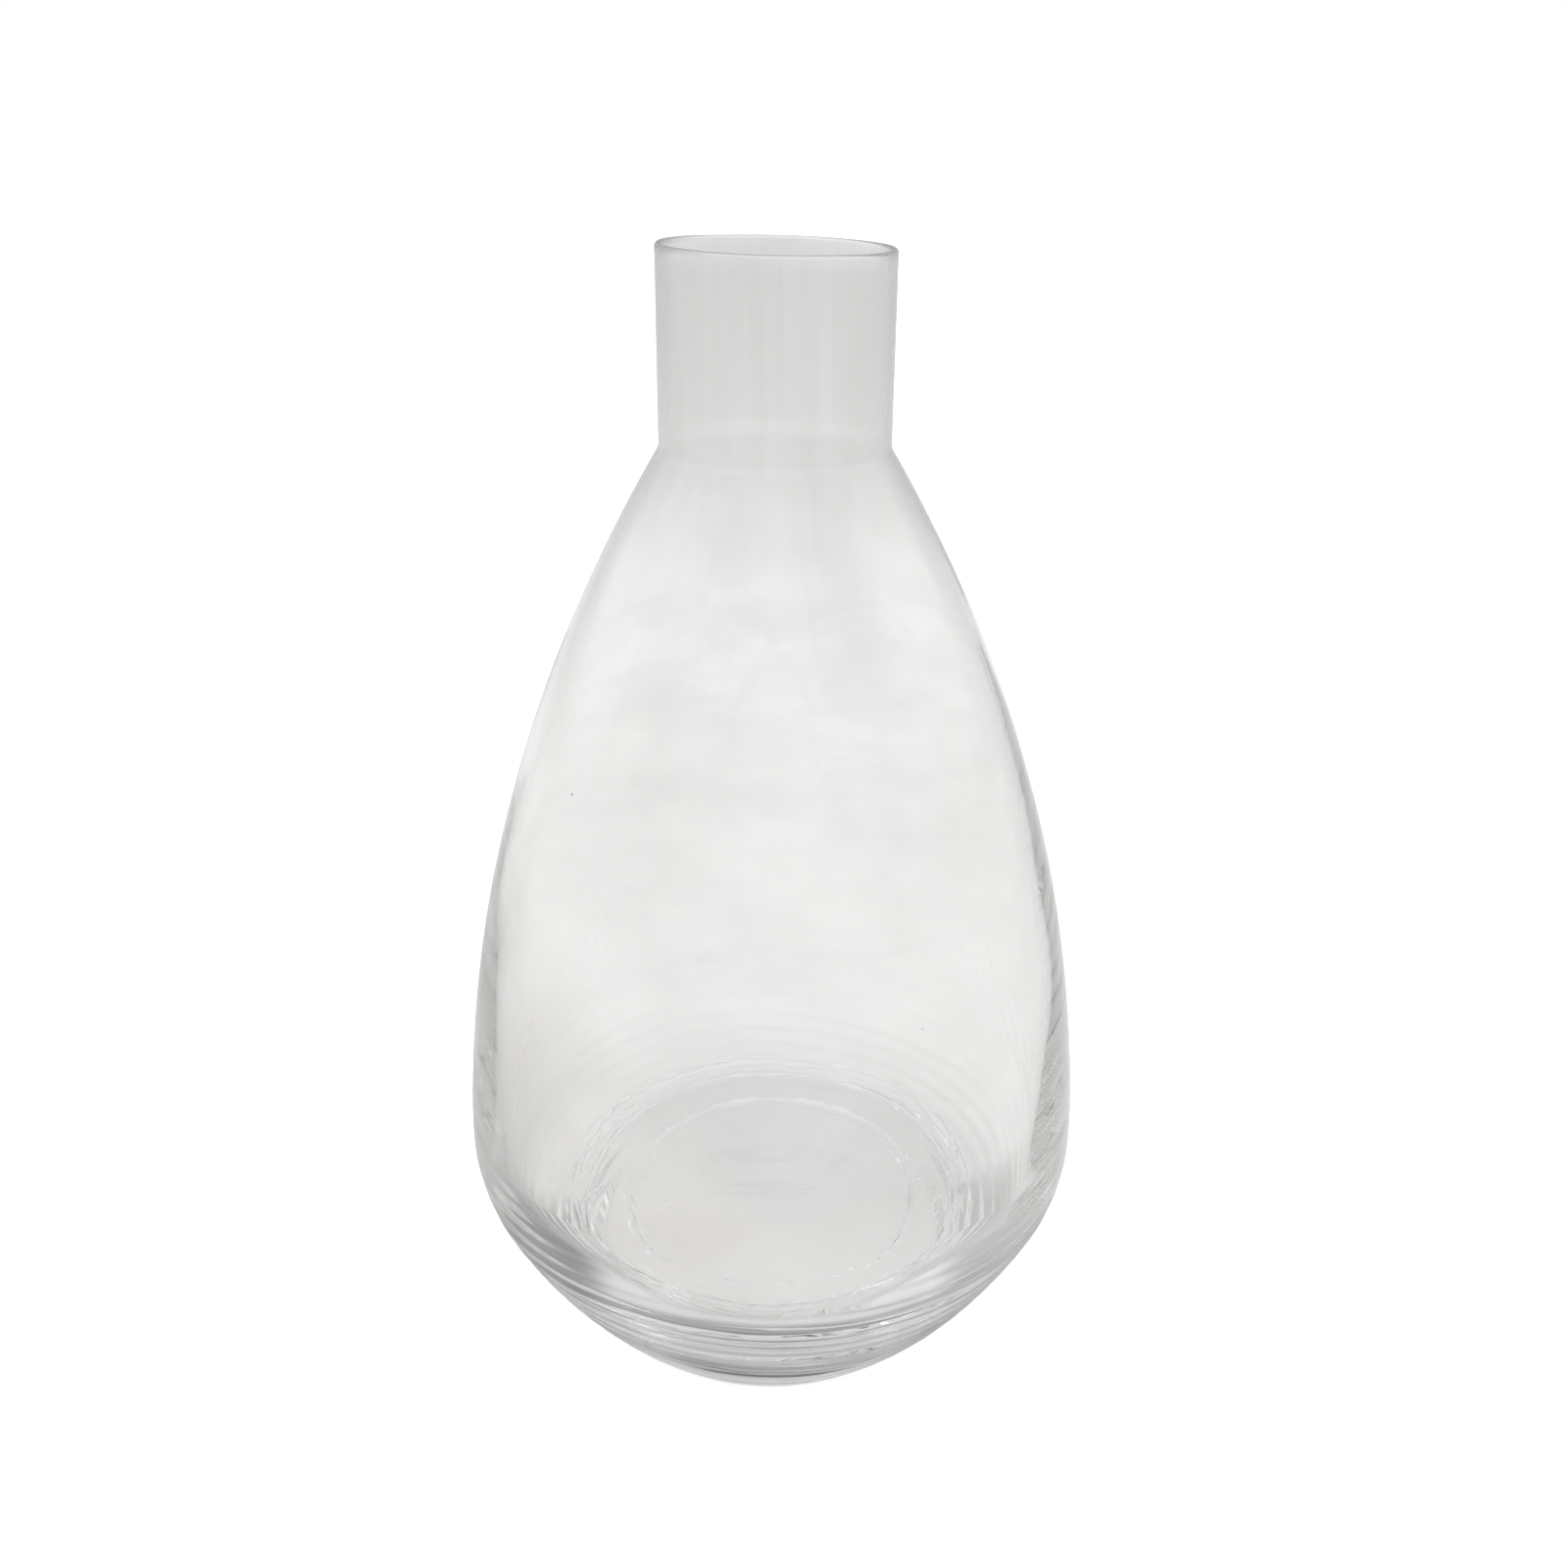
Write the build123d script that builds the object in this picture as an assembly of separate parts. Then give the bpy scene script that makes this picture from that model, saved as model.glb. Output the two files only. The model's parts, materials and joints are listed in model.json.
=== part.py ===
from build123d import *
import math
import os

# A blown-glass flower vase: one hollow vessel of revolution about Z.  It has a low,
# wide belly that narrows to a short straight neck, a thin wall that thickens
# downwards, and a heavy solid base.  Z = 0 is the flat ring it stands on.
# All sizes are in millimetres.  A profile point is (radius, height).

# ---- overall form -------------------------------------------------------------
TOTAL_HEIGHT = 280.0
BELLY_RADIUS = 80.7          # widest point of the outside
BELLY_HEIGHT = 56.0          # how high the widest point stands
NECK_RADIUS = 27.0           # outside of the straight neck
NECK_LENGTH = 44.5           # from the crease to the rim

# ---- outside of the body ------------------------------------------------------
BELLY_TOP_CURVE = 177.0      # curvature just above the widest point
BELLY_TOP_TURN = 4.0         # degrees that stretch turns inwards
BELLY_LOW_CURVE = 36.0       # tighter curvature just below the widest point
BELLY_LOW_TURN = 26.0        # degrees that stretch turns inwards
FOOT_RADIUS = 48.5           # where the lower flank would reach the table
FOOT_EDGE_ROUND = 1.5
CREASE_ROUND = 4.5           # hollow corner where the shoulder meets the neck

# ---- underside ----------------------------------------------------------------
PUNT_RADIUS = 39.0           # shallow hollow inside the standing ring
PUNT_DEPTH = 1.5

# ---- wall and cavity ----------------------------------------------------------
NECK_WALL = 1.6
CAVITY_RADIUS = 74.5         # widest point of the inside
CAVITY_HEIGHT = 62.0         # height of that widest point
FLOOR_HEIGHT = 24.0          # solid glass below the inner floor
FLOOR_RADIUS = 54.0          # corner between the inner floor and the inner wall
FLOOR_CORNER_ROUND = 4.0
FLOOR_DISH_RADIUS = 39.0     # shallow round step in the middle of the inner floor
FLOOR_DISH_DEPTH = 1.3
FLOOR_DISH_SLOPE = 2.5       # width of the step's sloping edge
INNER_CREASE_DROP = 0.5      # the inner crease lies this far below the outer one
INNER_CREASE_ROUND = CREASE_ROUND + NECK_WALL


def up_at(turn):
    """Direction of travel upwards along the profile, leaning inwards by turn degrees."""
    return (-math.sin(math.radians(turn)), math.cos(math.radians(turn)))


def arc_end(start, curve, turn, side):
    """End of an arc that leaves `start` vertically and turns inwards by `turn` degrees.

    `side` is +1 for an arc that climbs and -1 for one that descends.
    """
    angle = math.radians(turn)
    radius, height = start
    return (radius - curve * (1 - math.cos(angle)), height + side * curve * math.sin(angle))


def outer_wall():
    """Outside of the vessel, from the foot to the start of the rounded lip."""
    foot = (FOOT_RADIUS, 0)
    belly = (BELLY_RADIUS, BELLY_HEIGHT)
    below_belly = arc_end(belly, BELLY_LOW_CURVE, BELLY_LOW_TURN, -1)
    above_belly = arc_end(belly, BELLY_TOP_CURVE, BELLY_TOP_TURN, +1)
    crease = (NECK_RADIUS, TOTAL_HEIGHT - NECK_LENGTH)
    lip_start = (NECK_RADIUS, TOTAL_HEIGHT - NECK_WALL / 2)
    down = (math.sin(math.radians(-BELLY_LOW_TURN)), -math.cos(math.radians(BELLY_LOW_TURN)))
    flank = TangentArc(below_belly, foot, tangent=down)
    low_arc = TangentArc(belly, below_belly, tangent=(0, -1))
    top_arc = TangentArc(belly, above_belly, tangent=(0, 1))
    shoulder = TangentArc(above_belly, crease, tangent=up_at(BELLY_TOP_TURN))
    neck = Line(crease, lip_start)
    return [flank, low_arc, top_arc, shoulder, neck]


def lip():
    """Fully rounded, fire-polished rim."""
    inner_radius = NECK_RADIUS - NECK_WALL
    start_height = TOTAL_HEIGHT - NECK_WALL / 2
    return ThreePointArc(
        (NECK_RADIUS, start_height),
        (NECK_RADIUS - NECK_WALL / 2, TOTAL_HEIGHT),
        (inner_radius, start_height),
    )


def cavity_wall():
    """Inside of the vessel, from the lip down to the corner of the inner floor."""
    inner_radius = NECK_RADIUS - NECK_WALL
    crease = (inner_radius, TOTAL_HEIGHT - NECK_LENGTH - INNER_CREASE_DROP)
    widest = (CAVITY_RADIUS, CAVITY_HEIGHT)
    corner = (FLOOR_RADIUS, FLOOR_HEIGHT)
    neck = Line((inner_radius, TOTAL_HEIGHT - NECK_WALL / 2), crease)
    shoulder = TangentArc(widest, crease, tangent=(0, 1))
    bowl = TangentArc(widest, corner, tangent=(0, -1))
    return [neck, shoulder, bowl]


def inner_floor():
    """Inner floor with a shallow round dish in its middle."""
    dish_height = FLOOR_HEIGHT - FLOOR_DISH_DEPTH
    step_foot = (FLOOR_DISH_RADIUS, dish_height)
    step_top = (FLOOR_DISH_RADIUS + FLOOR_DISH_SLOPE, FLOOR_HEIGHT)
    ledge = Line((FLOOR_RADIUS, FLOOR_HEIGHT), step_top)
    step = Spline(step_top, step_foot, tangents=[(-1, 0), (-1, 0)])
    dish = Line(step_foot, (0, dish_height))
    return [ledge, step, dish]


def underside():
    """Shallow punt in the middle, inside the flat ring that the vase stands on."""
    axis = Line((0, FLOOR_HEIGHT - FLOOR_DISH_DEPTH), (0, PUNT_DEPTH))
    punt = TangentArc((0, PUNT_DEPTH), (PUNT_RADIUS, 0), tangent=(1, 0))
    ring = Line((PUNT_RADIUS, 0), (FOOT_RADIUS, 0))
    return [axis, punt, ring]


def nearest(vertices, radius, height):
    """The profile corner nearest to a point given as radius and height."""
    return min(vertices, key=lambda v: math.hypot(v.X - radius, v.Y - height))


def glass_section():
    """Half section of the glass, with its corners softened."""
    edges = outer_wall() + [lip()] + cavity_wall() + inner_floor() + underside()
    section = make_face(edges)
    neck_base = TOTAL_HEIGHT - NECK_LENGTH
    rounds = [
        (FOOT_RADIUS, 0, FOOT_EDGE_ROUND),
        (NECK_RADIUS, neck_base, CREASE_ROUND),
        (NECK_RADIUS - NECK_WALL, neck_base - INNER_CREASE_DROP, INNER_CREASE_ROUND),
        (FLOOR_RADIUS, FLOOR_HEIGHT, FLOOR_CORNER_ROUND),
    ]
    for radius, height, round_radius in rounds:
        corner = nearest(section.vertices(), radius, height)
        section = fillet(corner, round_radius)
    return section


def glass_vessel():
    """The whole vase, turned from its half section."""
    upright = Plane.XZ * glass_section()
    return revolve(upright, axis=Axis.Z, revolution_arc=360)


os.makedirs("parts", exist_ok=True)
vessel = glass_vessel()
vessel.label = "glass_vessel"
export_step(vessel, "parts/glass_vessel.step")
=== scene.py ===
import json
import math

import bmesh
import bpy
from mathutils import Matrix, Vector, noise


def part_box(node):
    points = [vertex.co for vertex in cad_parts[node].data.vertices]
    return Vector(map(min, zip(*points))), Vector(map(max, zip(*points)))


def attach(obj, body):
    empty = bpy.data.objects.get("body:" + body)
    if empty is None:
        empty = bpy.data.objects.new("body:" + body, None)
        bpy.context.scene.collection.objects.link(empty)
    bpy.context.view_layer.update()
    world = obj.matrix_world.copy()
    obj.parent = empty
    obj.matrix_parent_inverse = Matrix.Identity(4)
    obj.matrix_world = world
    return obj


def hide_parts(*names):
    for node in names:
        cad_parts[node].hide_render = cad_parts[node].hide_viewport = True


# A clear blown-glass vase, standing empty on a plain pale floor.
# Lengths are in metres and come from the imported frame, or from the named sizes below.

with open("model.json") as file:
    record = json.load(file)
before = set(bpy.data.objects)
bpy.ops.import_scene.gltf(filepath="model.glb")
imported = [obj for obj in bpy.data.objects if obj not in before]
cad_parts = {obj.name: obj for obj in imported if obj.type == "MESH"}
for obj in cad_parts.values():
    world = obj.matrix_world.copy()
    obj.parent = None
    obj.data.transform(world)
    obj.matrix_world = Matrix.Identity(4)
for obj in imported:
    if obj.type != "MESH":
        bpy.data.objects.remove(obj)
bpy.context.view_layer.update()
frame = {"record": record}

MM = 0.001
VESSEL_NODE = "glass_vessel"

# ---- sizes read from the frame --------------------------------------------------
mounts = {mount["name"]: mount for mount in frame["record"]["mounts"]}
low_corner, high_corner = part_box(VESSEL_NODE)
TOTAL_HEIGHT = high_corner.z
BELLY_RADIUS = (high_corner.x - low_corner.x) / 2
NECK_RADIUS = mounts["neck_outside"]["dims"]["r_mm"] * MM
NECK_INSIDE = mounts["neck_bore"]["dims"]["r_mm"] * MM
NECK_WALL = NECK_RADIUS - NECK_INSIDE

# ---- the vessel's other sizes, as the design has them -----------------------------
NECK_LENGTH = 44.5 * MM
BELLY_HEIGHT = 56 * MM
BELLY_TOP_CURVE = 177 * MM
BELLY_TOP_TURN = math.radians(4)
BELLY_LOW_CURVE = 36 * MM
BELLY_LOW_TURN = math.radians(26)
FOOT_RADIUS = 48.5 * MM
FOOT_EDGE_ROUND = 1.5 * MM
CREASE_ROUND = 4.5 * MM
PUNT_RADIUS = 39 * MM
PUNT_DEPTH = 1.5 * MM
CAVITY_RADIUS = 74.5 * MM
CAVITY_HEIGHT = 62 * MM
FLOOR_HEIGHT = 24 * MM
FLOOR_RADIUS = 54 * MM
FLOOR_CORNER_ROUND = 4 * MM
DISH_RADIUS = 39 * MM
DISH_DEPTH = 1.3 * MM
DISH_SLOPE = 2.5 * MM
INNER_CREASE_DROP = 0.5 * MM
INNER_CREASE_ROUND = 6.1 * MM

# ---- mesh density ---------------------------------------------------------------
SIDES = 256
COARSE = 4.0 * MM                 # spacing of the profile's points on plain walls
FINE = 1.3 * MM                   # on the foot and the flank
FLOOR_STEP = 0.6 * MM             # on the inner floor and the bowl next to it
RING_STEP = 0.13 * MM             # across the chill rings
BOWL_FINE = 7 * MM                # height above the floor up to which the bowl keeps every point
BOWL_KEEP = 3                     # above that it keeps each third point
RINGS_FINE = 5 * MM               # height above the floor up to which rings get RING_STEP
BEND_POINTS = 8                   # in each rounded corner and round the lip
BEND_MARGIN = 1.05                # points within this times a bend's reach give way to it
PUNT_POINTS = 14                  # across the hollow under the base
ON_AXIS = 0.0001 * MM             # a radius below this is the axis itself

# ---- what the glassmaker's hand leaves --------------------------------------------
NOISE_GAIN = 1.6                  # plain noise seldom leaves -0.6 to 0.6
RIM_LEAN = 0.55 * MM              # how much higher one side of the rim stands
RIM_LEAN_WAY = math.pi            # the heading of that side
RIM_UNEVEN = 0.12 * MM
RIM_FADE = (225 * MM, 280 * MM)   # heights between which the lean comes in
WAVES_INSIDE = 0.34 * MM          # slow waves in the wall, stronger where no mould held the glass
WAVES_OUTSIDE = 0.10 * MM
WAVE_PITCH = 55 * MM
WAVE_FADE = (8 * MM, 50 * MM)
FINE_WAVES = 0.05 * MM
FINE_WAVE_PITCH = 30 * MM
FINE_WAVES_CLEAR = 3 * MM         # they start this far above the inner floor
RIPPLE = 0.32 * MM                # ripples round the thick lower flank
RIPPLE_PITCH = 4.6 * MM
RIPPLE_WANDER = 2.6               # radians by which they run ahead or behind round the vessel
RIPPLE_LEAST = 0.35               # share of their depth left in the quietest places
RIPPLE_PATCH = 20 * MM            # height of the quiet and the strong places
RIPPLE_FROM = (2 * MM, 8 * MM)    # heights between which the ripples come in
RIPPLE_TO = (28 * MM, 56 * MM)    # and between which they die out
WRINKLE = 0.65 * MM               # fine wrinkles beside the chill rings of the inner floor
WRINKLE_PITCH = 1.3 * MM
WRINKLE_REACH = 1.6 * MM
RING_WANDER = 0.5 * MM
RING_LEAST = 0.35                 # share of a ring's rise left where it is broken
FLOOR_SWELL = 0.06 * MM
FLOOR_SWELL_PITCH = 16 * MM
FLOOR_EDGE = 9 * MM               # the floor's marks reach this far up its rounded edge
STANDING_FLAT = 0.05 * MM         # the underside below this height stays true
SEED_FLATNESS = 0.8               # height of a bubble by its width
# radius, half width, rise and noise seed of each chill ring
FLOOR_RINGS = (
    (53.6 * MM, 0.34 * MM, 1.40 * MM, 31),
    (57.5 * MM, 0.30 * MM, 0.80 * MM, 32),
    (40.6 * MM, 0.34 * MM, 1.30 * MM, 33),
)
# angle, height and radius of each bubble in the wall
WALL_SEEDS = (
    (-139, 164 * MM, 0.40 * MM),
    (-62, 118 * MM, 0.22 * MM),
    (48, 201 * MM, 0.20 * MM),
    (171, 97 * MM, 0.25 * MM),
)
# distance from the axis, angle, depth under the floor and radius of each bubble in the base
FLOOR_SEEDS = (
    (34.0 * MM, -32, 2.2 * MM, 0.45 * MM),
    (48.5 * MM, -113, 2.6 * MM, 0.40 * MM),
    (50.5 * MM, -162, 2.4 * MM, 0.42 * MM),
    (49.5 * MM, 119, 2.2 * MM, 0.40 * MM),
    (50.0 * MM, 120.5, 2.0 * MM, 0.34 * MM),
    (49.0 * MM, 121.5, 2.4 * MM, 0.36 * MM),
    (50.0 * MM, 123, 2.1 * MM, 0.30 * MM),
    (46.0 * MM, 28, 5.0 * MM, 0.30 * MM),
    (21.0 * MM, 150, 7.0 * MM, 0.22 * MM),
)

# ---- glass ------------------------------------------------------------------------
GLASS_IOR = 1.5
ABSORPTION = 3.5                  # per metre
ABSORPTION_TINT = (0.703, 0.70, 0.692, 1)
RIM_GROUND = 1.2 * MM             # height of the ground band at the rim
RIM_ROUGHNESS = 0.35
NECK_HAZE = 0.18                  # roughness of the neck, and the heights where it comes in
HAZE_FROM = 200 * MM
HAZE_TO = 232 * MM
# the skin where it is most clouded, and how the two kinds of mark are stretched and detailed
CLOUDED = (0.968, 0.9645, 0.962, 1)
BLOTCHES = (24, 24, 18), 3
STREAKS = (300, 300, 14), 2
STREAKS_FROM = 190 * MM           # heights between which blotches give way to streaks
STREAKS_TO = 240 * MM
NOISE_LOW = 0.35                  # a noise texture stays mostly between these
NOISE_HIGH = 0.65

# ---- surroundings, floor and camera -------------------------------------------------
WHITE = (1, 1, 1, 1)
WARM = (1.0, 0.997, 0.992)        # the greys lean this much towards a warm tone
# the sky's greys straight ahead, from 0 straight down over 0.5 level to 1 straight up
SKY = (
    (0.0, 0.70), (0.503, 0.70), (0.635, 0.64), (0.650, 0.12), (0.682, 0.12), (0.700, 0.75),
    (0.74, 1.02), (0.85, 0.98), (0.92, 0.55), (1.0, 0.35),
)
CLOUDS = 0.45                     # how uneven its greys are
CLOUD_SCALE = 2.2
CLOUD_DETAIL = 2
# bright panes and lamps: direction, cosine at the soft edge and at full brightness, and gain
WINDOWS = (
    ((-0.85, 0.35, 0.42), 0.85, 0.97, 0.4),
    ((0.90, 0.15, 0.40), 0.85, 0.97, 0.5),
    ((0.40, 0.45, 0.80), 0.990, 0.996, 6.0),
    ((-0.45, 0.60, 0.66), 0.993, 0.998, 7.0),
)
# where the sky counts as straight ahead; to the sides and behind, all is an even pale grey
AHEAD = ((0.0, 1.0, 0.15), 0.90, 0.98)
ASIDE = 0.70
FLOOR_SPAN = 4.0                  # metres
FLOOR_REACH = 5                   # the floor runs on to this many spans
FLOOR_MOTTLE = 0.20               # how uneven its greys are
FLOOR_MOTTLE_SCALE = 7.0
FLOOR_MOTTLE_DETAIL = 5
FLOOR_MOTTLE_ROUGHNESS = 0.65
FLOOR_DROP = 0.1 * MM             # it lies this far below the standing ring
FLOOR_LIFT = 0.6                  # own brightness, so that it is as white as the surroundings
# painted light and shade on the floor, by distance from the vase's axis, in spans: a painted
# shadow ring just outside the foot, dimmer far off
FLOOR_PAINTED_SHADING = (
    (0.0, 0.74), (0.0115, 0.75), (0.0125, 0.68), (0.017, 0.74), (0.022, 0.81),
    (0.033, 0.89), (0.06, 0.91), (0.11, 0.90), (0.16, 0.89), (0.22, 0.85), (0.30, 0.77),
    (0.45, 0.715), (1.0, 0.69),
)
# painted shadows of the glass on the floor: heading, cosine at the soft edge and at full strength,
# and the factor by distance from the axis, in spans
FLOOR_PAINTED_SHADOWS = (
    ((0.0, -1.0), 0.10, 0.75, (
        (0.0, 1.0), (0.0120, 1.0), (0.0130, 0.30), (0.0145, 0.08), (0.0170, 0.08),
        (0.0178, 0.75), (0.0200, 0.90), (0.0235, 1.0), (0.035, 1.0), (1.0, 1.0),
    )),
    ((-0.966, -0.26), 0.86, 0.97, (
        (0.0, 1.0), (0.0135, 1.0), (0.0160, 0.40), (0.0235, 0.42), (0.030, 0.75), (0.05, 1.0),
        (1.0, 1.0),
    )),
    ((0.985, -0.17), 0.84, 0.96, (
        (0.0, 1.0), (0.0135, 1.0), (0.0160, 0.55), (0.0235, 0.60), (0.030, 0.95), (0.04, 1.0),
        (1.0, 1.0),
    )),
    ((-1.0, 0.0), 0.40, 0.95, (
        (0.0, 1.0), (0.0200, 1.0), (0.0260, 0.72), (0.0380, 0.70), (0.055, 1.0), (1.0, 1.0),
    )),
    ((-0.91, 0.42), 0.80, 0.97, (
        (0.0, 1.0), (0.0450, 1.0), (0.0550, 0.80), (0.0650, 0.80), (0.080, 1.0), (1.0, 1.0),
    )),
)

CAMERA_LENS = 37.24               # millimetres, for a film CAMERA_FILM millimetres wide
CAMERA_FILM = 36
CAMERA_NEAR = 10 * MM
CAMERA_PLACE = (1.4 * MM, -376.4 * MM, 310.9 * MM)
CAMERA_DOWN = 23.1                # degrees below level
CAMERA_ROLL = -0.45               # degrees
LIGHT_BOUNCES = 512               # light runs a long way inside thick glass before it leaves


# =================================================================================
# The glass profile: points (radius, height) from the middle of the underside, up the
# outside, over the lip, down the inside and across the floor back to the axis.
# =================================================================================

def straight(start, end, step):
    """Points from start, left out, to end, about one step apart."""
    count = max(1, round(math.dist(start, end) / step))
    return [
        (start[0] + (end[0] - start[0]) * i / count, start[1] + (end[1] - start[1]) * i / count)
        for i in range(1, count + 1)
    ]


def tangent_arc(start, heading, end, step):
    """Points on the arc that leaves start along the unit vector heading and ends at end."""
    across = (end[0] - start[0], end[1] - start[1])
    side = (-heading[1], heading[0])
    offset = across[0] * side[0] + across[1] * side[1]
    curve = (across[0] ** 2 + across[1] ** 2) / (2 * offset)
    centre = (start[0] + side[0] * curve, start[1] + side[1] * curve)
    first = math.atan2(start[1] - centre[1], start[0] - centre[0])
    last = math.atan2(end[1] - centre[1], end[0] - centre[0])
    way = 1 if curve > 0 else -1
    sweep = ((last - first) * way) % (2 * math.pi)
    radius = abs(curve)
    count = max(3, round(radius * sweep / step))
    points = []
    for i in range(1, count + 1):
        angle = first + way * sweep * i / count
        points.append((centre[0] + radius * math.cos(angle), centre[1] + radius * math.sin(angle)))
    return points


def unit(a, b):
    """Unit vector from a to b."""
    length = math.dist(a, b)
    return ((b[0] - a[0]) / length, (b[1] - a[1]) / length)


def soften(before, corner, after, radius):
    """Joins two point lists that meet at a corner by a smooth bend of about that radius."""
    arrive = unit(before[-1], corner)
    leave = unit(corner, after[0])
    turn = math.acos(max(-1, min(1, arrive[0] * leave[0] + arrive[1] * leave[1])))
    reach = radius * math.tan(turn / 2)
    first = (corner[0] - arrive[0] * reach, corner[1] - arrive[1] * reach)
    last = (corner[0] + leave[0] * reach, corner[1] + leave[1] * reach)
    bend = []
    for i in range(BEND_POINTS + 1):
        t = i / BEND_POINTS
        weights = ((1 - t) ** 2, 2 * t * (1 - t), t * t)
        bend.append(tuple(
            weights[0] * first[k] + weights[1] * corner[k] + weights[2] * last[k] for k in (0, 1)
        ))
    clear = reach * BEND_MARGIN
    kept_before = [p for p in before if math.dist(p, corner) > clear]
    kept_after = [p for p in after if math.dist(p, corner) > clear]
    return kept_before + bend + kept_after


def backwards(start, points):
    """The run from the last of points back towards start, without its first point."""
    return ([start] + points)[::-1][1:]


def outside():
    """From the axis of the underside to the start of the lip."""
    belly = (BELLY_RADIUS, BELLY_HEIGHT)
    foot = (FOOT_RADIUS, 0.0)
    crease = (NECK_RADIUS, TOTAL_HEIGHT - NECK_LENGTH)
    punt_edge = (PUNT_RADIUS, 0.0)
    below = (
        BELLY_RADIUS - BELLY_LOW_CURVE * (1 - math.cos(BELLY_LOW_TURN)),
        BELLY_HEIGHT - BELLY_LOW_CURVE * math.sin(BELLY_LOW_TURN),
    )
    above = (
        BELLY_RADIUS - BELLY_TOP_CURVE * (1 - math.cos(BELLY_TOP_TURN)),
        BELLY_HEIGHT + BELLY_TOP_CURVE * math.sin(BELLY_TOP_TURN),
    )
    down = (-math.sin(BELLY_LOW_TURN), -math.cos(BELLY_LOW_TURN))
    inwards = (-math.sin(BELLY_TOP_TURN), math.cos(BELLY_TOP_TURN))
    punt = []
    for i in range(PUNT_POINTS + 1):
        t = i / PUNT_POINTS
        punt.append((PUNT_RADIUS * i / PUNT_POINTS, PUNT_DEPTH * (1 + math.cos(math.pi * t)) / 2))
    ring = straight(punt_edge, foot, FINE)
    flank = backwards(below, tangent_arc(below, down, foot, FINE))
    low_arc = backwards(belly, tangent_arc(belly, (0, -1), below, FINE))
    top_arc = tangent_arc(belly, (0, 1), above, COARSE)
    shoulder = tangent_arc(above, inwards, crease, COARSE)
    neck = straight(crease, (NECK_RADIUS, TOTAL_HEIGHT - NECK_WALL / 2), COARSE)
    base = soften(punt + ring[:-1], foot, flank, FOOT_EDGE_ROUND)
    body = base + low_arc + top_arc + shoulder[:-1]
    return soften(body, crease, neck, CREASE_ROUND)


def lip():
    """The fully rounded rim."""
    middle = NECK_RADIUS - NECK_WALL / 2
    height = TOTAL_HEIGHT - NECK_WALL / 2
    points = []
    for i in range(1, BEND_POINTS + 1):
        angle = math.pi * i / BEND_POINTS
        points.append((
            middle + NECK_WALL / 2 * math.cos(angle), height + NECK_WALL / 2 * math.sin(angle)
        ))
    return points


def inside():
    """From below the lip to the corner of the inner floor, and across the floor to the axis."""
    top = (NECK_INSIDE, TOTAL_HEIGHT - NECK_WALL / 2)
    crease = (NECK_INSIDE, TOTAL_HEIGHT - NECK_LENGTH - INNER_CREASE_DROP)
    widest = (CAVITY_RADIUS, CAVITY_HEIGHT)
    corner = (FLOOR_RADIUS, FLOOR_HEIGHT)
    step_top = (DISH_RADIUS + DISH_SLOPE, FLOOR_HEIGHT)
    step_foot = (DISH_RADIUS, FLOOR_HEIGHT - DISH_DEPTH)
    axis = (0.0, FLOOR_HEIGHT - DISH_DEPTH)
    neck = straight(top, crease, COARSE)
    shoulder = backwards(widest, tangent_arc(widest, (0, 1), crease, COARSE))
    bowl = tangent_arc(widest, (0, -1), corner, FLOOR_STEP)
    fine_top = FLOOR_HEIGHT + BOWL_FINE
    bowl = [p for i, p in enumerate(bowl) if p[1] < fine_top or i % BOWL_KEEP == 0]
    wall = soften(neck[:-1], crease, shoulder, INNER_CREASE_ROUND) + bowl[:-1]
    ledge = straight(corner, step_top, FLOOR_STEP)
    slope = []
    for i in range(1, BEND_POINTS + 1):
        t = i / BEND_POINTS
        drop = t * t * (3 - 2 * t)
        slope.append((
            step_top[0] + (step_foot[0] - step_top[0]) * t,
            step_top[1] + (step_foot[1] - step_top[1]) * drop,
        ))
    dish = straight(step_foot, axis, COARSE)
    return soften(wall, corner, ledge, FLOOR_CORNER_ROUND) + slope + dish


# =================================================================================
# What the glassmaker's hand leaves: the form is never quite round or quite even.
# =================================================================================

def ramp(value, low, high):
    """0 below low, 1 above high, and a smooth rise between them."""
    t = max(0.0, min(1.0, (value - low) / (high - low)))
    return t * t * (3 - 2 * t)


def around(angle, height, turns, pitch, seed):
    """Smooth noise, about -1 to 1, with that many swells in the turn round the vessel."""
    ring = turns / (2 * math.pi)
    place = Vector((math.cos(angle) * ring, math.sin(angle) * ring, height / pitch + seed))
    return NOISE_GAIN * noise.noise(place)


def denser(points, step):
    """The floor's points with more of them where a chill ring stands."""
    result = [points[0]]
    for start, end in zip(points, points[1:]):
        middle = (start[0] + end[0]) / 2
        reach = abs(start[0] - end[0]) / 2
        near = any(
            abs(middle - place) < 3 * width + RING_WANDER + reach
            for place, width, *_ in FLOOR_RINGS
        )
        low = max(start[1], end[1]) < FLOOR_HEIGHT + RINGS_FINE
        result += straight(start, end, step if near and low else 1)
    return result


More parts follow.
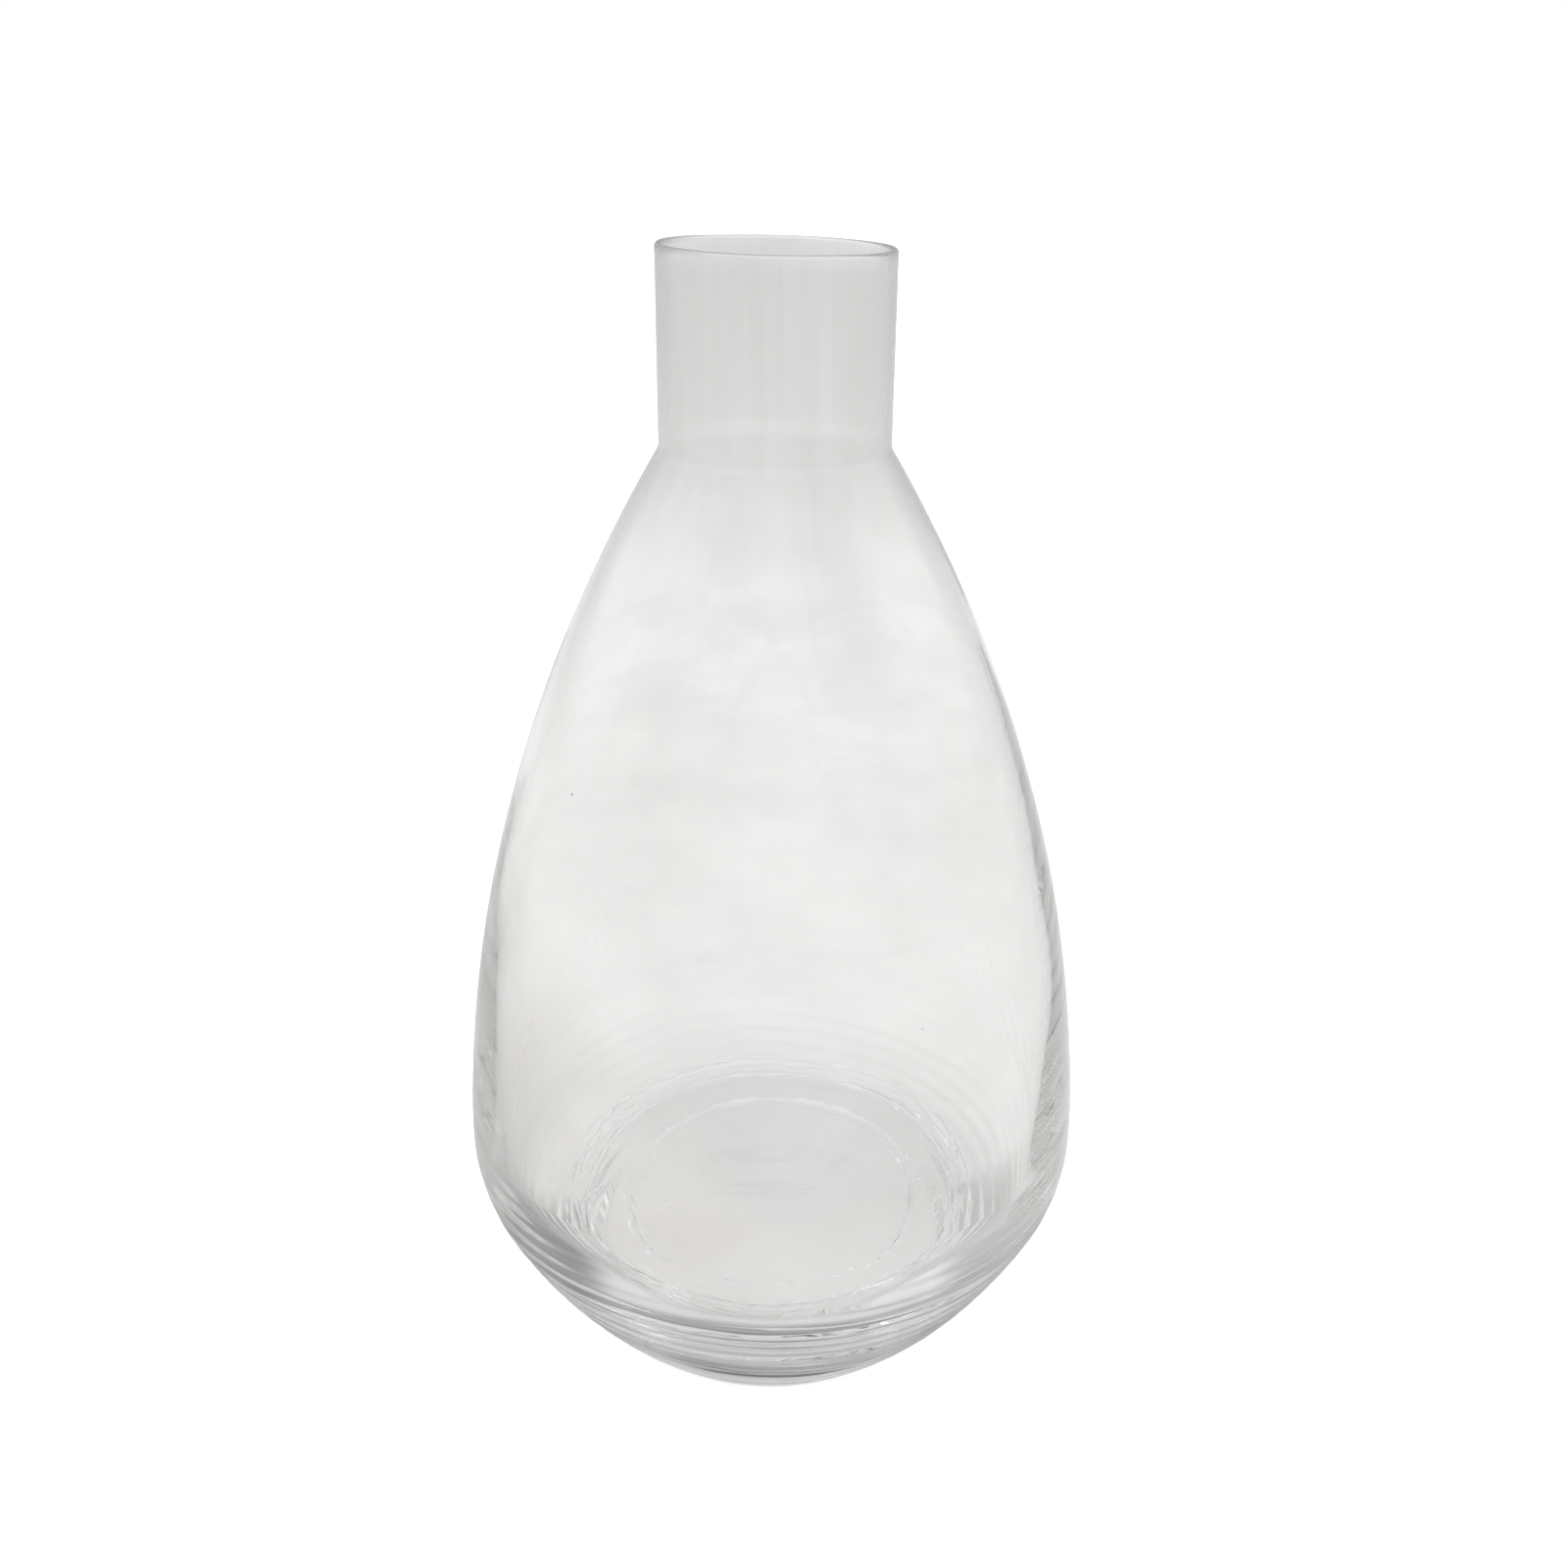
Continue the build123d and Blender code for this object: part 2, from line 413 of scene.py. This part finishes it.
def out_of_true(radius, height, angle, is_inside):
    """A profile point after the small errors of hand work, as (radius, height)."""
    body = ramp(height, *WAVE_FADE)
    neck = ramp(height, *RIM_FADE)
    # The rim was cut and fired a little off square.
    height += RIM_LEAN * neck * (radius / NECK_RADIUS) * math.cos(angle - RIM_LEAN_WAY)
    height += RIM_UNEVEN * neck * around(angle, 0, 7, 1, 11)
    waves, seed = (WAVES_INSIDE, 3) if is_inside else (WAVES_OUTSIDE, 5)
    radius += waves * body * around(angle, height, 5, WAVE_PITCH, seed)
    if is_inside and height > FLOOR_HEIGHT + FINE_WAVES_CLEAR:
        radius += FINE_WAVES * around(angle, height, 26, FINE_WAVE_PITCH, 17)
    # Ripples round the thick lower part, left as the hot glass settled.
    lower = ramp(height, *RIPPLE_FROM) * (1 - ramp(height, *RIPPLE_TO))
    if not is_inside:
        phase = height / RIPPLE_PITCH * 2 * math.pi + RIPPLE_WANDER * around(angle, 0, 5, 1, 23)
        strong = ramp(around(angle, height, 9, RIPPLE_PATCH, 29), -0.6, 0.6)
        strength = RIPPLE_LEAST + (1 - RIPPLE_LEAST) * strong
        radius += RIPPLE * lower * strength * math.sin(phase)
    return radius, height


def floor_marks(radius, height, angle):
    """Height of a point of the inner floor after its chill rings and wrinkles."""
    for ring_radius, ring_width, ring_rise, seed in FLOOR_RINGS:
        place = ring_radius + RING_WANDER * around(angle, 0, 6, 1, seed)
        near = math.exp(-((radius - place) / ring_width) ** 2)
        whole = ramp(around(angle, 0, 16, 1, seed + 40), -0.2, 0.5)
        height += ring_rise * near * (RING_LEAST + (1 - RING_LEAST) * whole)
        beside = math.exp(-((radius - place) / WRINKLE_REACH) ** 2)
        height += WRINKLE * beside * around(angle, radius, 70, WRINKLE_PITCH, seed + 7)
    across = radius / FLOOR_SWELL_PITCH
    swell = noise.noise(Vector((across * math.cos(angle), across * math.sin(angle), 5.0)))
    return height + FLOOR_SWELL * swell


def add_lathe(mesh):
    """Adds the whole glass surface to a bmesh: one closed skin, with its normals outwards."""
    outer = outside() + lip()
    profile = outer + denser(inside(), RING_STEP)
    rings = []
    for index, (radius, height) in enumerate(profile):
        if radius < ON_AXIS:
            rings.append([mesh.verts.new((0, 0, height))])
            continue
        is_inside = index >= len(outer)
        on_floor = is_inside and height < FLOOR_HEIGHT + FLOOR_EDGE
        ring = []
        for side in range(SIDES):
            angle = 2 * math.pi * side / SIDES
            r, z = out_of_true(radius, height, angle, is_inside)
            if on_floor:
                z = floor_marks(r, z, angle)
            if height < STANDING_FLAT and not is_inside:
                z = height
            ring.append(mesh.verts.new((r * math.cos(angle), r * math.sin(angle), z)))
        rings.append(ring)
    for lower, upper in zip(rings, rings[1:]):
        for side in range(SIDES):
            after = (side + 1) % SIDES
            if len(lower) == 1:
                mesh.faces.new((lower[0], upper[after], upper[side]))
            elif len(upper) == 1:
                mesh.faces.new((lower[side], lower[after], upper[0]))
            else:
                mesh.faces.new((lower[side], lower[after], upper[after], upper[side]))


def wall_middle(height):
    """Middle of the wall's thickness at a height, as a radius."""
    radii = []
    for run in (outside(), inside()):
        low, high = next(
            (a, b) for a, b in zip(run, run[1:])
            if min(a[1], b[1]) <= height <= max(a[1], b[1]) and min(a[0], b[0]) > NECK_INSIDE / 2
        )
        part = (height - low[1]) / (high[1] - low[1])
        radii.append(low[0] + (high[0] - low[0]) * part)
    return sum(radii) / 2


def add_seeds(mesh):
    """Tiny bubbles caught in the glass: closed hollows whose faces look into the hollow."""
    places = [(wall_middle(height), angle, height, size) for angle, height, size in WALL_SEEDS]
    for radius, angle, depth, size in FLOOR_SEEDS:
        places.append((radius, angle, FLOOR_HEIGHT - depth, size))
    for radius, angle, height, size in places:
        turn = math.radians(angle)
        centre = Vector((radius * math.cos(turn), radius * math.sin(turn), height))
        seed = bmesh.ops.create_icosphere(mesh, subdivisions=2, radius=size)["verts"]
        for vert in seed:
            vert.co = centre + Vector((vert.co.x, vert.co.y, vert.co.z * SEED_FLATNESS))
        hollow = {face for vert in seed for face in vert.link_faces}
        bmesh.ops.reverse_faces(mesh, faces=list(hollow))


def build_vessel():
    """The vase as one smooth mesh object."""
    mesh = bmesh.new()
    add_lathe(mesh)
    bmesh.ops.recalc_face_normals(mesh, faces=mesh.faces)
    add_seeds(mesh)
    data = bpy.data.meshes.new("vase_glass")
    mesh.to_mesh(data)
    mesh.free()
    data.polygons.foreach_set("use_smooth", [True] * len(data.polygons))
    vessel = bpy.data.objects.new("vase_glass", data)
    bpy.context.scene.collection.objects.link(vessel)
    return vessel


# =================================================================================
# Helpers for shader nodes
# =================================================================================

def warm(grey):
    """A grey as a colour with the surroundings' slight warmth."""
    return (grey * WARM[0], grey * WARM[1], grey * WARM[2], 1)


def grey_ramp(nodes, links, value, stops):
    """The colour at value along (position, grey) pairs."""
    node = nodes.new("ShaderNodeValToRGB")
    elements = node.color_ramp.elements
    for extra in stops[2:]:
        elements.new(extra[0])
    for element, (place, grey) in zip(elements, sorted(stops)):
        element.position = place
        element.color = warm(grey)
    links.new(value, node.inputs["Fac"])
    return node.outputs["Color"]


def number(nodes, links, operation, *values):
    """A maths node; each value is a plain number or another node's output."""
    node = nodes.new("ShaderNodeMath")
    node.operation = operation
    for socket, value in zip(node.inputs, values):
        if isinstance(value, (int, float)):
            socket.default_value = value
        else:
            links.new(value, socket)
    return node.outputs[0]


def rise(nodes, links, value, low, high, top=1):
    """0 where value is below low, top where it is above high, and a smooth rise between."""
    node = nodes.new("ShaderNodeMapRange")
    node.interpolation_type = "SMOOTHSTEP"
    node.inputs["From Min"].default_value = low
    node.inputs["From Max"].default_value = high
    node.inputs["To Max"].default_value = top
    links.new(value, node.inputs["Value"])
    return node.outputs["Result"]


def soft_cone(nodes, links, vector, heading, edge, full, gain=1):
    """Rises from 0 to gain as vector turns towards heading, between two cosines."""
    toward = nodes.new("ShaderNodeVectorMath")
    toward.operation = "DOT_PRODUCT"
    toward.inputs[1].default_value = Vector(heading).normalized()
    links.new(vector, toward.inputs[0])
    return rise(nodes, links, toward.outputs["Value"], edge, full, gain)


def uneven_grey(nodes, links, vector, scale, detail, roughness=0.5):
    """A noise texture's value at vector."""
    node = nodes.new("ShaderNodeTexNoise")
    node.inputs["Scale"].default_value = scale
    node.inputs["Detail"].default_value = detail
    node.inputs["Roughness"].default_value = roughness
    links.new(vector, node.inputs["Vector"])
    return node.outputs["Fac"]


def mixed_colour(nodes, links, factor, first, second, how="MIX"):
    """Two colours mixed; each is a plain colour or another node's output."""
    node = nodes.new("ShaderNodeMix")
    node.data_type = "RGBA"
    node.blend_type = how
    links.new(factor, node.inputs["Factor"])
    for socket, colour in ((node.inputs["A"], first), (node.inputs["B"], second)):
        if isinstance(colour, tuple):
            socket.default_value = colour
        else:
            links.new(colour, socket)
    return node.outputs["Result"]


def white_to_the_eye(nodes, links, seen, through, output):
    """Shows seen straight to the camera, and through to every ray that the glass has sent on."""
    path = nodes.new("ShaderNodeLightPath")
    mix = nodes.new("ShaderNodeMixShader")
    links.new(path.outputs["Is Camera Ray"], mix.inputs["Fac"])
    links.new(through.outputs[0], mix.inputs[1])
    links.new(seen.outputs[0], mix.inputs[2])
    links.new(mix.outputs[0], output.inputs["Surface"])


# =================================================================================
# Material
# =================================================================================

def cloudy_skin(nodes, links, shader):
    """The faint clouding of used glass: soft blotches on the body, upright streaks on the neck."""
    place = nodes.new("ShaderNodeTexCoord")
    height = nodes.new("ShaderNodeSeparateXYZ")
    links.new(place.outputs["Object"], height.inputs[0])
    layers = []
    for stretch, detail in (BLOTCHES, STREAKS):
        fit = nodes.new("ShaderNodeVectorMath")
        fit.operation = "MULTIPLY"
        fit.inputs[1].default_value = stretch
        links.new(place.outputs["Object"], fit.inputs[0])
        marks = uneven_grey(nodes, links, fit.outputs["Vector"], 1, detail)
        spread = nodes.new("ShaderNodeMapRange")
        spread.inputs["From Min"].default_value = NOISE_LOW
        spread.inputs["From Max"].default_value = NOISE_HIGH
        links.new(marks, spread.inputs["Value"])
        layers.append(spread.outputs["Result"])
    upper = rise(nodes, links, height.outputs["Z"], STREAKS_FROM, STREAKS_TO)
    blend = nodes.new("ShaderNodeMix")
    links.new(upper, blend.inputs["Factor"])
    links.new(layers[0], blend.inputs["A"])
    links.new(layers[1], blend.inputs["B"])
    tint = mixed_colour(nodes, links, blend.outputs["Result"], CLOUDED, WHITE)
    links.new(tint, shader.inputs["Base Color"])


def glass_material():
    """Clear soda-lime glass with a trace of tint in its depth, a hazy neck and a dull rim."""
    material = bpy.data.materials.new("clear_glass")
    material.use_nodes = True
    nodes = material.node_tree.nodes
    links = material.node_tree.links
    shader = nodes["Principled BSDF"]
    shader.inputs["Base Color"].default_value = WHITE
    cloudy_skin(nodes, links, shader)
    shader.inputs["Transmission Weight"].default_value = 1
    shader.inputs["IOR"].default_value = GLASS_IOR
    # The rim is ground a little dull, and the neck is hazy.
    place = nodes.new("ShaderNodeNewGeometry")
    height = nodes.new("ShaderNodeSeparateXYZ")
    links.new(place.outputs["Position"], height.inputs[0])
    up = height.outputs["Z"]
    ground = TOTAL_HEIGHT - RIM_GROUND
    rim = rise(nodes, links, up, ground, ground + RIM_GROUND / 2, RIM_ROUGHNESS)
    haze = rise(nodes, links, up, HAZE_FROM, HAZE_TO, NECK_HAZE)
    rougher = number(nodes, links, "MAXIMUM", rim, haze)
    links.new(rougher, shader.inputs["Roughness"])
    absorb = nodes.new("ShaderNodeVolumeAbsorption")
    absorb.inputs["Color"].default_value = ABSORPTION_TINT
    absorb.inputs["Density"].default_value = ABSORPTION
    links.new(absorb.outputs[0], nodes["Material Output"].inputs["Volume"])
    return material


# =================================================================================
# Stage: floor, surroundings, lights and camera
# =================================================================================

def build_world():
    """White all round to the eye; soft, slightly cloudy greys in the glass."""
    world = bpy.data.worlds.new("surroundings")
    bpy.context.scene.world = world
    world.use_nodes = True
    nodes = world.node_tree.nodes
    links = world.node_tree.links
    nodes.clear()
    coordinates = nodes.new("ShaderNodeTexCoord")
    heading = coordinates.outputs["Generated"]
    split = nodes.new("ShaderNodeSeparateXYZ")
    links.new(heading, split.inputs[0])
    up = number(nodes, links, "MULTIPLY_ADD", split.outputs["Z"], 0.5, 0.5)
    greys = grey_ramp(nodes, links, up, SKY)
    clouds = uneven_grey(nodes, links, heading, CLOUD_SCALE, CLOUD_DETAIL)
    bright = number(nodes, links, "MULTIPLY_ADD", clouds, 2 * CLOUDS, 1 - CLOUDS)
    ahead = soft_cone(nodes, links, heading, *AHEAD)
    lit = mixed_colour(nodes, links, ahead, warm(ASIDE), greys)
    for window in WINDOWS:
        pane = soft_cone(nodes, links, heading, *window)
        bright = number(nodes, links, "ADD", bright, pane)
    soft = nodes.new("ShaderNodeBackground")
    links.new(lit, soft.inputs["Color"])
    links.new(bright, soft.inputs["Strength"])
    seen = nodes.new("ShaderNodeBackground")
    seen.inputs["Color"].default_value = WHITE
    output = nodes.new("ShaderNodeOutputWorld")
    white_to_the_eye(nodes, links, seen, soft, output)


def build_floor():
    """A plain pale floor: white to the eye; to the rays that the glass sends on it glows in
    painted greys, with painted shade near the vase.
    """
    size = FLOOR_REACH * FLOOR_SPAN
    data = bpy.data.meshes.new("floor")
    data.from_pydata(
        [(-size, -size, 0), (size, -size, 0), (size, size, 0), (-size, size, 0)],
        [], [(0, 1, 2, 3)],
    )
    floor = bpy.data.objects.new("floor", data)
    floor.location.z = -FLOOR_DROP
    bpy.context.scene.collection.objects.link(floor)
    material = bpy.data.materials.new("floor")
    material.use_nodes = True
    nodes = material.node_tree.nodes
    links = material.node_tree.links
    nodes.clear()
    coordinates = nodes.new("ShaderNodeTexCoord")
    place = coordinates.outputs["Object"]
    length = nodes.new("ShaderNodeVectorMath")
    length.operation = "LENGTH"
    links.new(place, length.inputs[0])
    far = number(nodes, links, "DIVIDE", length.outputs["Value"], FLOOR_SPAN)
    # Painted light and shade: the floor's greys by distance from the axis.
    shaded = grey_ramp(nodes, links, far, FLOOR_PAINTED_SHADING)
    along = nodes.new("ShaderNodeVectorMath")
    along.operation = "NORMALIZE"
    links.new(place, along.inputs[0])
    # Painted shadows: each patch darkens the floor's greys towards one heading.
    for heading, edge, full, stops in FLOOR_PAINTED_SHADOWS:
        shade = grey_ramp(nodes, links, far, stops)
        side = soft_cone(nodes, links, along.outputs["Vector"], (*heading, 0), edge, full)
        shaded = mixed_colour(nodes, links, side, shaded, shade, "MULTIPLY")
    mottle = uneven_grey(
        nodes, links, place, FLOOR_MOTTLE_SCALE, FLOOR_MOTTLE_DETAIL, FLOOR_MOTTLE_ROUGHNESS
    )
    bright = number(nodes, links, "MULTIPLY_ADD", mottle, 2 * FLOOR_MOTTLE, 1 - FLOOR_MOTTLE)
    # The floor glows with these painted greys, instead of being lit, for every ray that the glass
    # sends on.
    through = nodes.new("ShaderNodeEmission")
    links.new(shaded, through.inputs["Color"])
    links.new(bright, through.inputs["Strength"])
    white = nodes.new("ShaderNodeBsdfDiffuse")
    white.inputs["Color"].default_value = WHITE
    lift = nodes.new("ShaderNodeEmission")
    lift.inputs["Strength"].default_value = FLOOR_LIFT
    seen = nodes.new("ShaderNodeAddShader")
    links.new(white.outputs[0], seen.inputs[0])
    links.new(lift.outputs[0], seen.inputs[1])
    output = nodes.new("ShaderNodeOutputMaterial")
    white_to_the_eye(nodes, links, seen, through, output)
    data.materials.append(material)


def build_camera():
    """The camera: a little above the rim, looking down at the belly."""
    data = bpy.data.cameras.new("camera")
    data.lens = CAMERA_LENS
    data.sensor_width = CAMERA_FILM
    data.clip_start = CAMERA_NEAR
    camera = bpy.data.objects.new("camera", data)
    camera.location = CAMERA_PLACE
    camera.rotation_euler = (math.radians(90 - CAMERA_DOWN), math.radians(CAMERA_ROLL), 0)
    bpy.context.scene.collection.objects.link(camera)
    bpy.context.scene.camera = camera


glass = glass_material()
vessel = build_vessel()
vessel.data.materials.append(glass)
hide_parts(VESSEL_NODE)
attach(vessel, "root")

build_world()
build_floor()
build_camera()
scene = bpy.context.scene
scene.view_settings.view_transform = "Standard"
scene.cycles.max_bounces = LIGHT_BOUNCES
scene.cycles.transmission_bounces = LIGHT_BOUNCES
scene.cycles.glossy_bounces = LIGHT_BOUNCES
